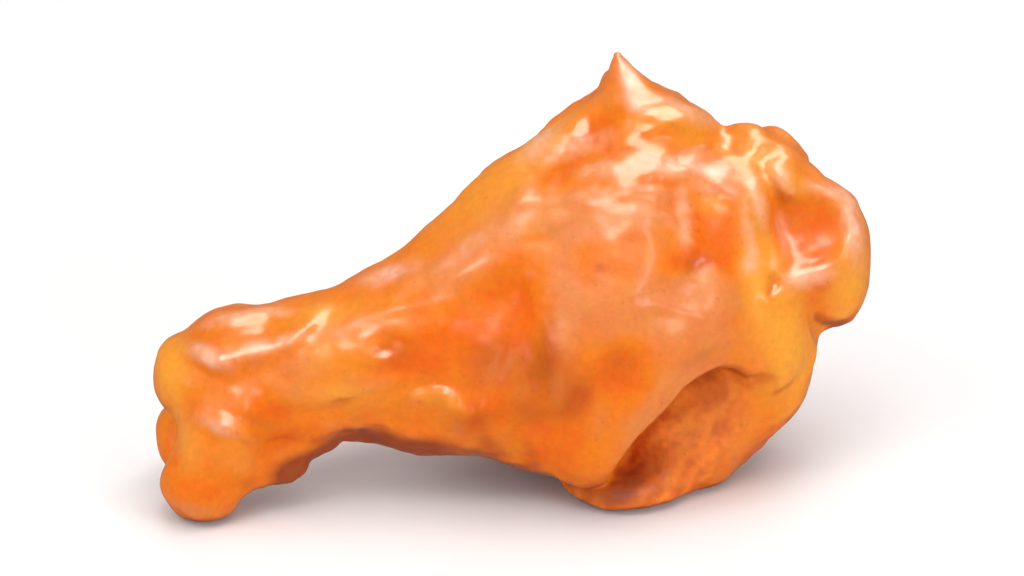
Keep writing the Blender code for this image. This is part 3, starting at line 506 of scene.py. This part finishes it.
def make_skin():
    p, quads = fine_skin(GRAIN)
    web = Web(quads, len(p))
    for _ in range(2):
        p = web.soften(p, 2, 0.6)
        g = slope(grounded, p)
        g2 = np.maximum((g * g).sum(1), 0.3)
        p = p - np.clip(grounded(p), -0.4, 0.4)[:, None] * g / g2[:, None]
    n = normals_of(p, quads)
    n = web.soften(n, 3)
    n /= np.linalg.norm(n, axis=1, keepdims=True)
    x, y, z = p.T
    v = z * UP + y * IN
    facing = ease(0.05, 0.4, -n[:, 1] * UP + n[:, 2] * IN)
    rear = ease(0.1, 0.5, n[:, 1])
    under = ease(-0.25, -0.85, n[:, 2])
    crown = ease(33, 42, v) * ease(-0.2, 0.3, n[:, 2])
    knob = ease(-16, -25, x) * ease(14, 20, v) * ease(0.0, 0.5, n[:, 2])
    # which lobes the surface belongs to
    core = -joined(-blended(p, CORE), distance(p, OPENING), OPENING["blend"])
    meat = blended(p, FILL)
    bare = ease(0.6, -0.9, meat - core) * ease(29.5, 24.5, x + 0.35 * (10 - v)) * ease(25, 19, y) * ease(22, 18, v)
    h = sum(pit_height(x, v, c) for c in FINE_PITS) + sum(line_height(x, v, s) for s in FINE_LINES)
    h = 0.8 * h * facing
    hr = sum(pit_height(x, z, c) for c in REAR_PITS) + sum(line_height(x, z, s) for s in REAR_LINES)
    h = h + hr * rear
    along = p * np.array((0.62, 1.1, 1.1))                     # ripples drawn out along the wing
    h = h + 0.15 * ripple(p, 5.5, 11) + 0.07 * ripple(p, 2.6, 12) + 0.025 * ripple(p, 1.25, 13)
    tip = 1 - ease(46.5, 50.0, z)
    h = h + tip * crown * (0.28 * ripple(along, 3.0, 21) + 0.15 * ripple(along, 1.6, 22) + 0.05 * ripple(p, 1.1, 23))
    h = h + knob * (0.14 * ripple(along, 2.4, 24) + 0.06 * ripple(p, 1.3, 25))
    h = h + under * (0.30 * ripple(p, 3.0, 31) + 0.14 * ripple(p, 1.5, 32))
    h = h + bare * (0.22 * ripple(p, 2.2, 41) + 0.12 * ripple(p, 1.1, 42))
    h = web.soften(h, 1, 0.5)
    h = h * ease(0.0, 1.5, z)
    q = p + n * h[:, None]
    q[:, 2] = np.maximum(q[:, 2], 0.0)
    m = normals_of(q, quads)
    # how hollow (+) or proud (-) each place is, at two scales
    small = ((web.soften(q, 8) - q) * m).sum(1)
    wide = ((web.soften(q, 60) - q) * m).sum(1)
    # patch masks: sauce, painted sheen, painted light, painted highlights, browning and painted shade
    at = {k: np.clip(sum(pit_height(x, v, c) for c in t), 0, 1.2) * (facing if k != "dark_meat_and_shade" else 1 - rear)
          for k, t in (("thick", THICK_AT), ("thin", THIN_SAUCE_AND_SHEEN_AT), ("amber_painted_light", AMBER_PAINTED_LIGHT_AT), ("brown_and_shade", BROWN_AND_SHADE_AT), ("dark_meat_and_shade", DARK_MEAT_AND_SHADE_AT), ("painted_highlight", PAINTED_HIGHLIGHT_AT))}
    return q, quads, m, dict(small=small, wide=wide, bare=bare, under=under, crown=crown, facing=facing, **at)


def mix(a, b, t):
    return a + (b - a) * t[:, None]


points, quads, normal, on = make_skin()
print("skin", len(points), "corners", len(quads), "quads")

# colour: thick sauce in the hollows, thin on the ridges, bare meat in the opening, plus painted sheen, painted
# highlights, painted light on rims and top, and painted shade on undersides and in the cavity
# THIN_SAUCE_AND_SHEEN is thin sauce and also a painted sheen.
THICK, MID, THIN_SAUCE_AND_SHEEN = np.array((0.78, 0.134, 0.0002)), np.array((0.77, 0.172, 0.001)), np.array((0.71, 0.200, 0.042))
# AMBER_AND_PAINTED_LIGHT is painted light on lit rims and top, and random amber tone on the back; PAINTED_HIGHLIGHT is
# a painted highlight colour.
AMBER_AND_PAINTED_LIGHT, PAINTED_HIGHLIGHT = np.array((0.82, 0.300, 0.022)), np.array((0.86, 0.45, 0.30))
# BROWN_AND_SHADE is browned skin and also painted shade.
BROWN_AND_SHADE = np.array((0.50, 0.080, 0.0005))
# DARK_MEAT_AND_SHADE is dark meat and also painted shade.
MEAT, FIBRE, DARK_MEAT_AND_SHADE = np.array((0.84, 0.215, 0.025)), np.array((0.60, 0.120, 0.015)), np.array((0.30, 0.048, 0.010))
hollow = np.clip(on["wide"] * 1.2 + on["small"] * 4.0, -1, 1)
cloud = 0.6 * ripple(points, 8.0, 51) + 0.3 * ripple(points, 3.6, 52) + 0.08 * ripple(points, 1.6, 53)
back = 1 - on["facing"]
t = 0.44 + 0.58 * on["thick"] - 0.42 * on["thin"] + 0.25 * hollow + cloud * (0.30 + 0.25 * back)
# low t gives thin sauce and the painted sheen
tint = mix(np.repeat(THIN_SAUCE_AND_SHEEN[None], len(points), 0), MID[None], ease(0.0, 0.5, t))
tint = mix(tint, THICK[None], ease(0.45, 0.95, t))
# painted light in the amber patches; random amber tone on the back
tint = mix(tint, AMBER_AND_PAINTED_LIGHT[None], np.clip(0.85 * on["amber_painted_light"] + 0.6 * back * ease(0.1, 0.6, ripple(points, 9.0, 54)), 0, 1))
# painted highlights, broken up by noise
painted_highlight_breakup = 0.75 + 0.5 * ripple(points, 1.7, 61) + 0.3 * ripple(points, 0.9, 62)
tint = mix(tint, PAINTED_HIGHLIGHT[None], np.clip(0.75 * on["painted_highlight"] * painted_highlight_breakup, 0, 0.9))
# browned flecks and painted shade in the brown patches; random browned patches on the back, more of them in hollows
tint = mix(tint, BROWN_AND_SHADE[None], np.clip(0.8 * on["brown_and_shade"] + 0.6 * back * ease(0.15, 0.6, ripple(points, 6.0, 58) + 0.3 * hollow), 0, 1))
grainy = points @ np.array(turned((0, 35, 0))) * np.array((1.0, 1.0, 0.35))
spots = ease(-0.8, 0.8, 0.8 * ripple(grainy, 1.5, 55) + 0.6 * ripple(points, 0.9, 57) + 0.5 * ripple(points, 4.0, 59))[:, None]
tint = mix(tint, FIBRE[None] + (MEAT - FIBRE)[None] * spots, on["bare"] * 0.95)
# painted shade: browner on faces that point down
tint = mix(tint, BROWN_AND_SHADE[None], 0.7 * ease(-0.3, -0.65, normal[:, 2] + 0.2 * ripple(points, 3.0, 63)))
# painted shade: darker still where faces point further down
tint = mix(tint, DARK_MEAT_AND_SHADE[None], 0.85 * ease(-0.55, -0.85, normal[:, 2] + 0.2 * ripple(points, 3.5, 56)))
# painted shade in the dark patches, over darker meat bits
tint = mix(tint, DARK_MEAT_AND_SHADE[None], np.clip(0.8 * on["dark_meat_and_shade"] * (0.4 + 0.6 * np.maximum(on["bare"], ease(-5, -10, points[:, 0]))), 0, 1))
wet = 1 - 0.6 * on["bare"] - 0.3 * on["under"] + 0.7 * np.clip(on["thick"], 0, 1)

skin = bpy.data.meshes.new("drumette_skin")
skin.vertices.add(len(points))
skin.loops.add(len(quads) * 4)
skin.polygons.add(len(quads))
place = (points - np.array((MIDDLE[0], MIDDLE[1], 0.0))) * MM
skin.vertices.foreach_set("co", place.astype(np.float32).ravel())
skin.polygons.foreach_set("loop_start", np.arange(0, len(quads) * 4, 4, dtype=np.int32))
skin.loops.foreach_set("vertex_index", quads.astype(np.int32).ravel())
skin.update(calc_edges=True)
skin.validate()
skin.shade_smooth()
# vertex colour, with its painted light and shade
a = skin.color_attributes.new("sauce_and_painted_light", "FLOAT_COLOR", "POINT")
a.data.foreach_set("color", np.concatenate([tint, np.ones((len(points), 1))], 1).astype(np.float32).ravel())
a = skin.attributes.new("wet", "FLOAT", "POINT")
a.data.foreach_set("value", wet.astype(np.float32))
a = skin.attributes.new("bare", "FLOAT", "POINT")
a.data.foreach_set("value", on["bare"].astype(np.float32))
wing = bpy.data.objects.new("drumette_skin", skin)
bpy.context.scene.collection.objects.link(wing)
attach(wing, "root")
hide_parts("drumette")


# ---------------------------------------------------------------- materials
class Nodes:
    def __init__(self, name):
        self.material = bpy.data.materials.new(name)
        self.material.use_nodes = True
        self.tree = self.material.node_tree
        self.shader = self.tree.nodes["Principled BSDF"]

    def add(self, kind, **values):
        n = self.tree.nodes.new(kind)
        for k, v in values.items():
            if k in n.inputs:
                n.inputs[k].default_value = v
            else:
                setattr(n, k, v)
        return n

    def link(self, a, b):
        self.tree.links.new(a, b)

    def noise(self, size_mm, detail=3.0, rough=0.55):
        n = self.add("ShaderNodeTexNoise")
        n.inputs["Scale"].default_value = 1.0 / (size_mm * MM)
        n.inputs["Detail"].default_value = detail
        n.inputs["Roughness"].default_value = rough
        self.link(self.where, n.inputs["Vector"])
        return n.outputs["Fac"]

    def math(self, op, a, b=None, clamp=False):
        n = self.add("ShaderNodeMath", operation=op, use_clamp=clamp)
        for i, v in enumerate((a, b)):
            if v is None:
                continue
            if isinstance(v, (int, float)):
                n.inputs[i].default_value = v
            else:
                self.link(v, n.inputs[i])
        return n.outputs[0]

    def span(self, v, a, b, c, d):
        n = self.add("ShaderNodeMapRange")
        n.interpolation_type = "SMOOTHSTEP"
        for i, w in zip(range(1, 5), (a, b, c, d)):
            n.inputs[i].default_value = w
        self.link(v, n.inputs[0])
        return n.outputs[0]


def sauce_material(name, dry):
    k = Nodes(name)
    k.where = k.add("ShaderNodeTexCoord").outputs["Object"]
    s = k.shader.inputs
    sauce_and_painted_light = k.add("ShaderNodeAttribute", attribute_name="sauce_and_painted_light")
    wet = k.add("ShaderNodeAttribute", attribute_name="wet").outputs["Fac"]
    bare = k.add("ShaderNodeAttribute", attribute_name="bare").outputs["Fac"]
    # fine mottling of the sauce, its pulp and its oil
    pulp = k.noise(0.9, 4.0, 0.6)
    hue = k.add("ShaderNodeHueSaturation")
    k.link(sauce_and_painted_light.outputs["Color"], hue.inputs["Color"])
    speck = k.span(k.noise(1.0, 2.0, 0.6), 0.64, 0.80, 1.0, 0.80)
    k.link(k.math("MULTIPLY", k.span(pulp, 0.3, 0.7, 0.93, 1.03), speck), hue.inputs["Value"])
    k.link(k.span(k.noise(3.0, 3.0), 0.3, 0.7, 0.497, 0.504), hue.inputs["Hue"])
    k.link(hue.outputs["Color"], s["Base Color"])
    rough = k.span(k.noise(1.6, 3.0), 0.3, 0.7, 0.38 + 0.1 * dry, 0.52 + 0.1 * dry)
    rough = k.math("ADD", rough, k.math("MULTIPLY", k.math("SUBTRACT", 1.0, wet), 0.2))
    k.link(rough, s["Roughness"])
    s["IOR"].default_value = 1.30
    s["Subsurface Weight"].default_value = 0.25
    s["Subsurface Radius"].default_value = (1.0, 0.35, 0.12)
    s["Subsurface Scale"].default_value = 0.0022
    s["Specular Tint"].default_value = (1.0, 0.92, 0.82, 1)
    s["Coat Weight"].default_value = 0.08 if dry else 0.38
    s["Coat Roughness"].default_value = 0.35 if dry else 0.2
    s["Coat IOR"].default_value = 1.4
    # bump: grainy skin under the sauce, pulp in it
    grain = k.math("MULTIPLY", k.noise(0.55, 3.0, 0.6), 0.5)
    grain = k.math("ADD", grain, k.noise(1.3, 2.0, 0.5))
    grain = k.math("ADD", grain, k.math("MULTIPLY", k.math("MULTIPLY", bare, k.noise(0.8, 4.0, 0.65)), 2.0))
    bump = k.add("ShaderNodeBump")
    bump.inputs["Strength"].default_value = 0.3
    bump.inputs["Distance"].default_value = 0.00016
    k.link(grain, bump.inputs["Height"])
    k.link(bump.outputs["Normal"], s["Normal"])
    return k.material


skin.materials.append(sauce_material("hot_sauce_on_skin", 0))
skin.materials.append(sauce_material("bare_meat", 1))
skin.polygons.foreach_set("material_index", (on["bare"][quads].mean(1) > 0.5).astype(np.int32))

# ------------------------------------------------------------------ the stage
floor_mesh = bpy.data.meshes.new("floor")
around = [2 * math.pi * i / 96 for i in range(96)]
floor_mesh.from_pydata([(0.45 * math.cos(a), 0.45 * math.sin(a), -0.0001) for a in around], [], [list(range(96))])
floor = bpy.data.objects.new("floor", floor_mesh)
bpy.context.scene.collection.objects.link(floor)
floor.visible_glossy = False
paper = Nodes("white_board")
paper.where = paper.add("ShaderNodeTexCoord").outputs["Object"]
paper.shader.inputs["Base Color"].default_value = (0.85, 0.85, 0.85, 1)
paper.shader.inputs["Roughness"].default_value = 0.7
paper.link(paper.span(paper.noise(4.0), 0.2, 0.8, 0.65, 0.8), paper.shader.inputs["Roughness"])
floor_mesh.materials.append(paper.material)

scene = bpy.context.scene
scene.view_settings.view_transform = "Standard"
world = bpy.data.worlds.new("white_tent")
scene.world = world
world.use_nodes = True
world.node_tree.nodes["Background"].inputs["Color"].default_value = (1, 1, 1, 1)
# white behind the board, dimmer as a light on the wing
seen = world.node_tree.nodes.new("ShaderNodeLightPath").outputs["Is Camera Ray"]
level = world.node_tree.nodes.new("ShaderNodeMapRange")
level.inputs["To Min"].default_value, level.inputs["To Max"].default_value = 0.20, 0.97
world.node_tree.links.new(seen, level.inputs["Value"])
world.node_tree.links.new(level.outputs["Result"], world.node_tree.nodes["Background"].inputs["Strength"])


def gloss(ob):
    ob.visible_diffuse = False


def fill(ob):
    ob.visible_glossy = False


def softbox(name, at, size, power, to=(0, 0, 0.02)):
    light = bpy.data.lights.new(name, "AREA")
    light.shape = "RECTANGLE"
    light.size, light.size_y = size
    light.energy = power
    ob = bpy.data.objects.new(name, light)
    scene.collection.objects.link(ob)
    ob.location = at
    ob.rotation_euler = (Vector(to) - Vector(at)).to_track_quat("-Z", "Y").to_euler()
    return ob


softbox("overhead", (0.04, -0.03, 0.50), (0.46, 0.17), 0.78)
# soft fills that show no gloss of their own
fill(softbox("tent_roof", (0, 0, 1.20), (2.0, 2.0), 5.0, (0, 0, 0)))
fill(softbox("key_left", (-0.28, -0.20, 0.42), (0.16, 0.16), 0.4))
fill(softbox("front_left", (-0.40, -0.60, 0.36), (0.5, 0.5), 1.3))
fill(softbox("front_right", (0.55, -0.40, 0.24), (0.4, 0.3), 2.3))
fill(softbox("left", (-0.62, -0.04, 0.22), (0.4, 0.4), 1.1))
fill(softbox("front_low", (0.06, -0.72, 0.06), (0.7, 0.1), 0.4))
fill(softbox("rear", (0.05, 0.60, 0.40), (0.6, 0.4), 1.6))
# large scrims that only show as gloss
gloss(softbox("scrim", (0.10, -0.05, 0.50), (0.78, 0.26), 10.5))
gloss(softbox("scrim_front", (0.08, -0.25, 0.47), (0.60, 0.14), 1.5))
gloss(softbox("strip_right", (0.34, -0.52, 0.37), (0.10, 0.22), 0.9))
gloss(softbox("strip_left", (-0.42, -0.43, 0.26), (0.08, 0.22), 0.25))

lens_at, look_at = 0.65, Vector((-MIDDLE[0] * MM, 0.018 - MIDDLE[1] * MM, 0.02265))
tilt = math.radians(FACE_LEAN)
camera = bpy.data.cameras.new("camera")
camera.sensor_width = 36
camera.lens = 36 * lens_at / 0.1257
camera.clip_start = 0.01
view = bpy.data.objects.new("camera", camera)
scene.collection.objects.link(view)
view.location = look_at + Vector((0, -math.cos(tilt), math.sin(tilt))) * lens_at
view.rotation_euler = (look_at - view.location).to_track_quat("-Z", "Y").to_euler()
scene.camera = view
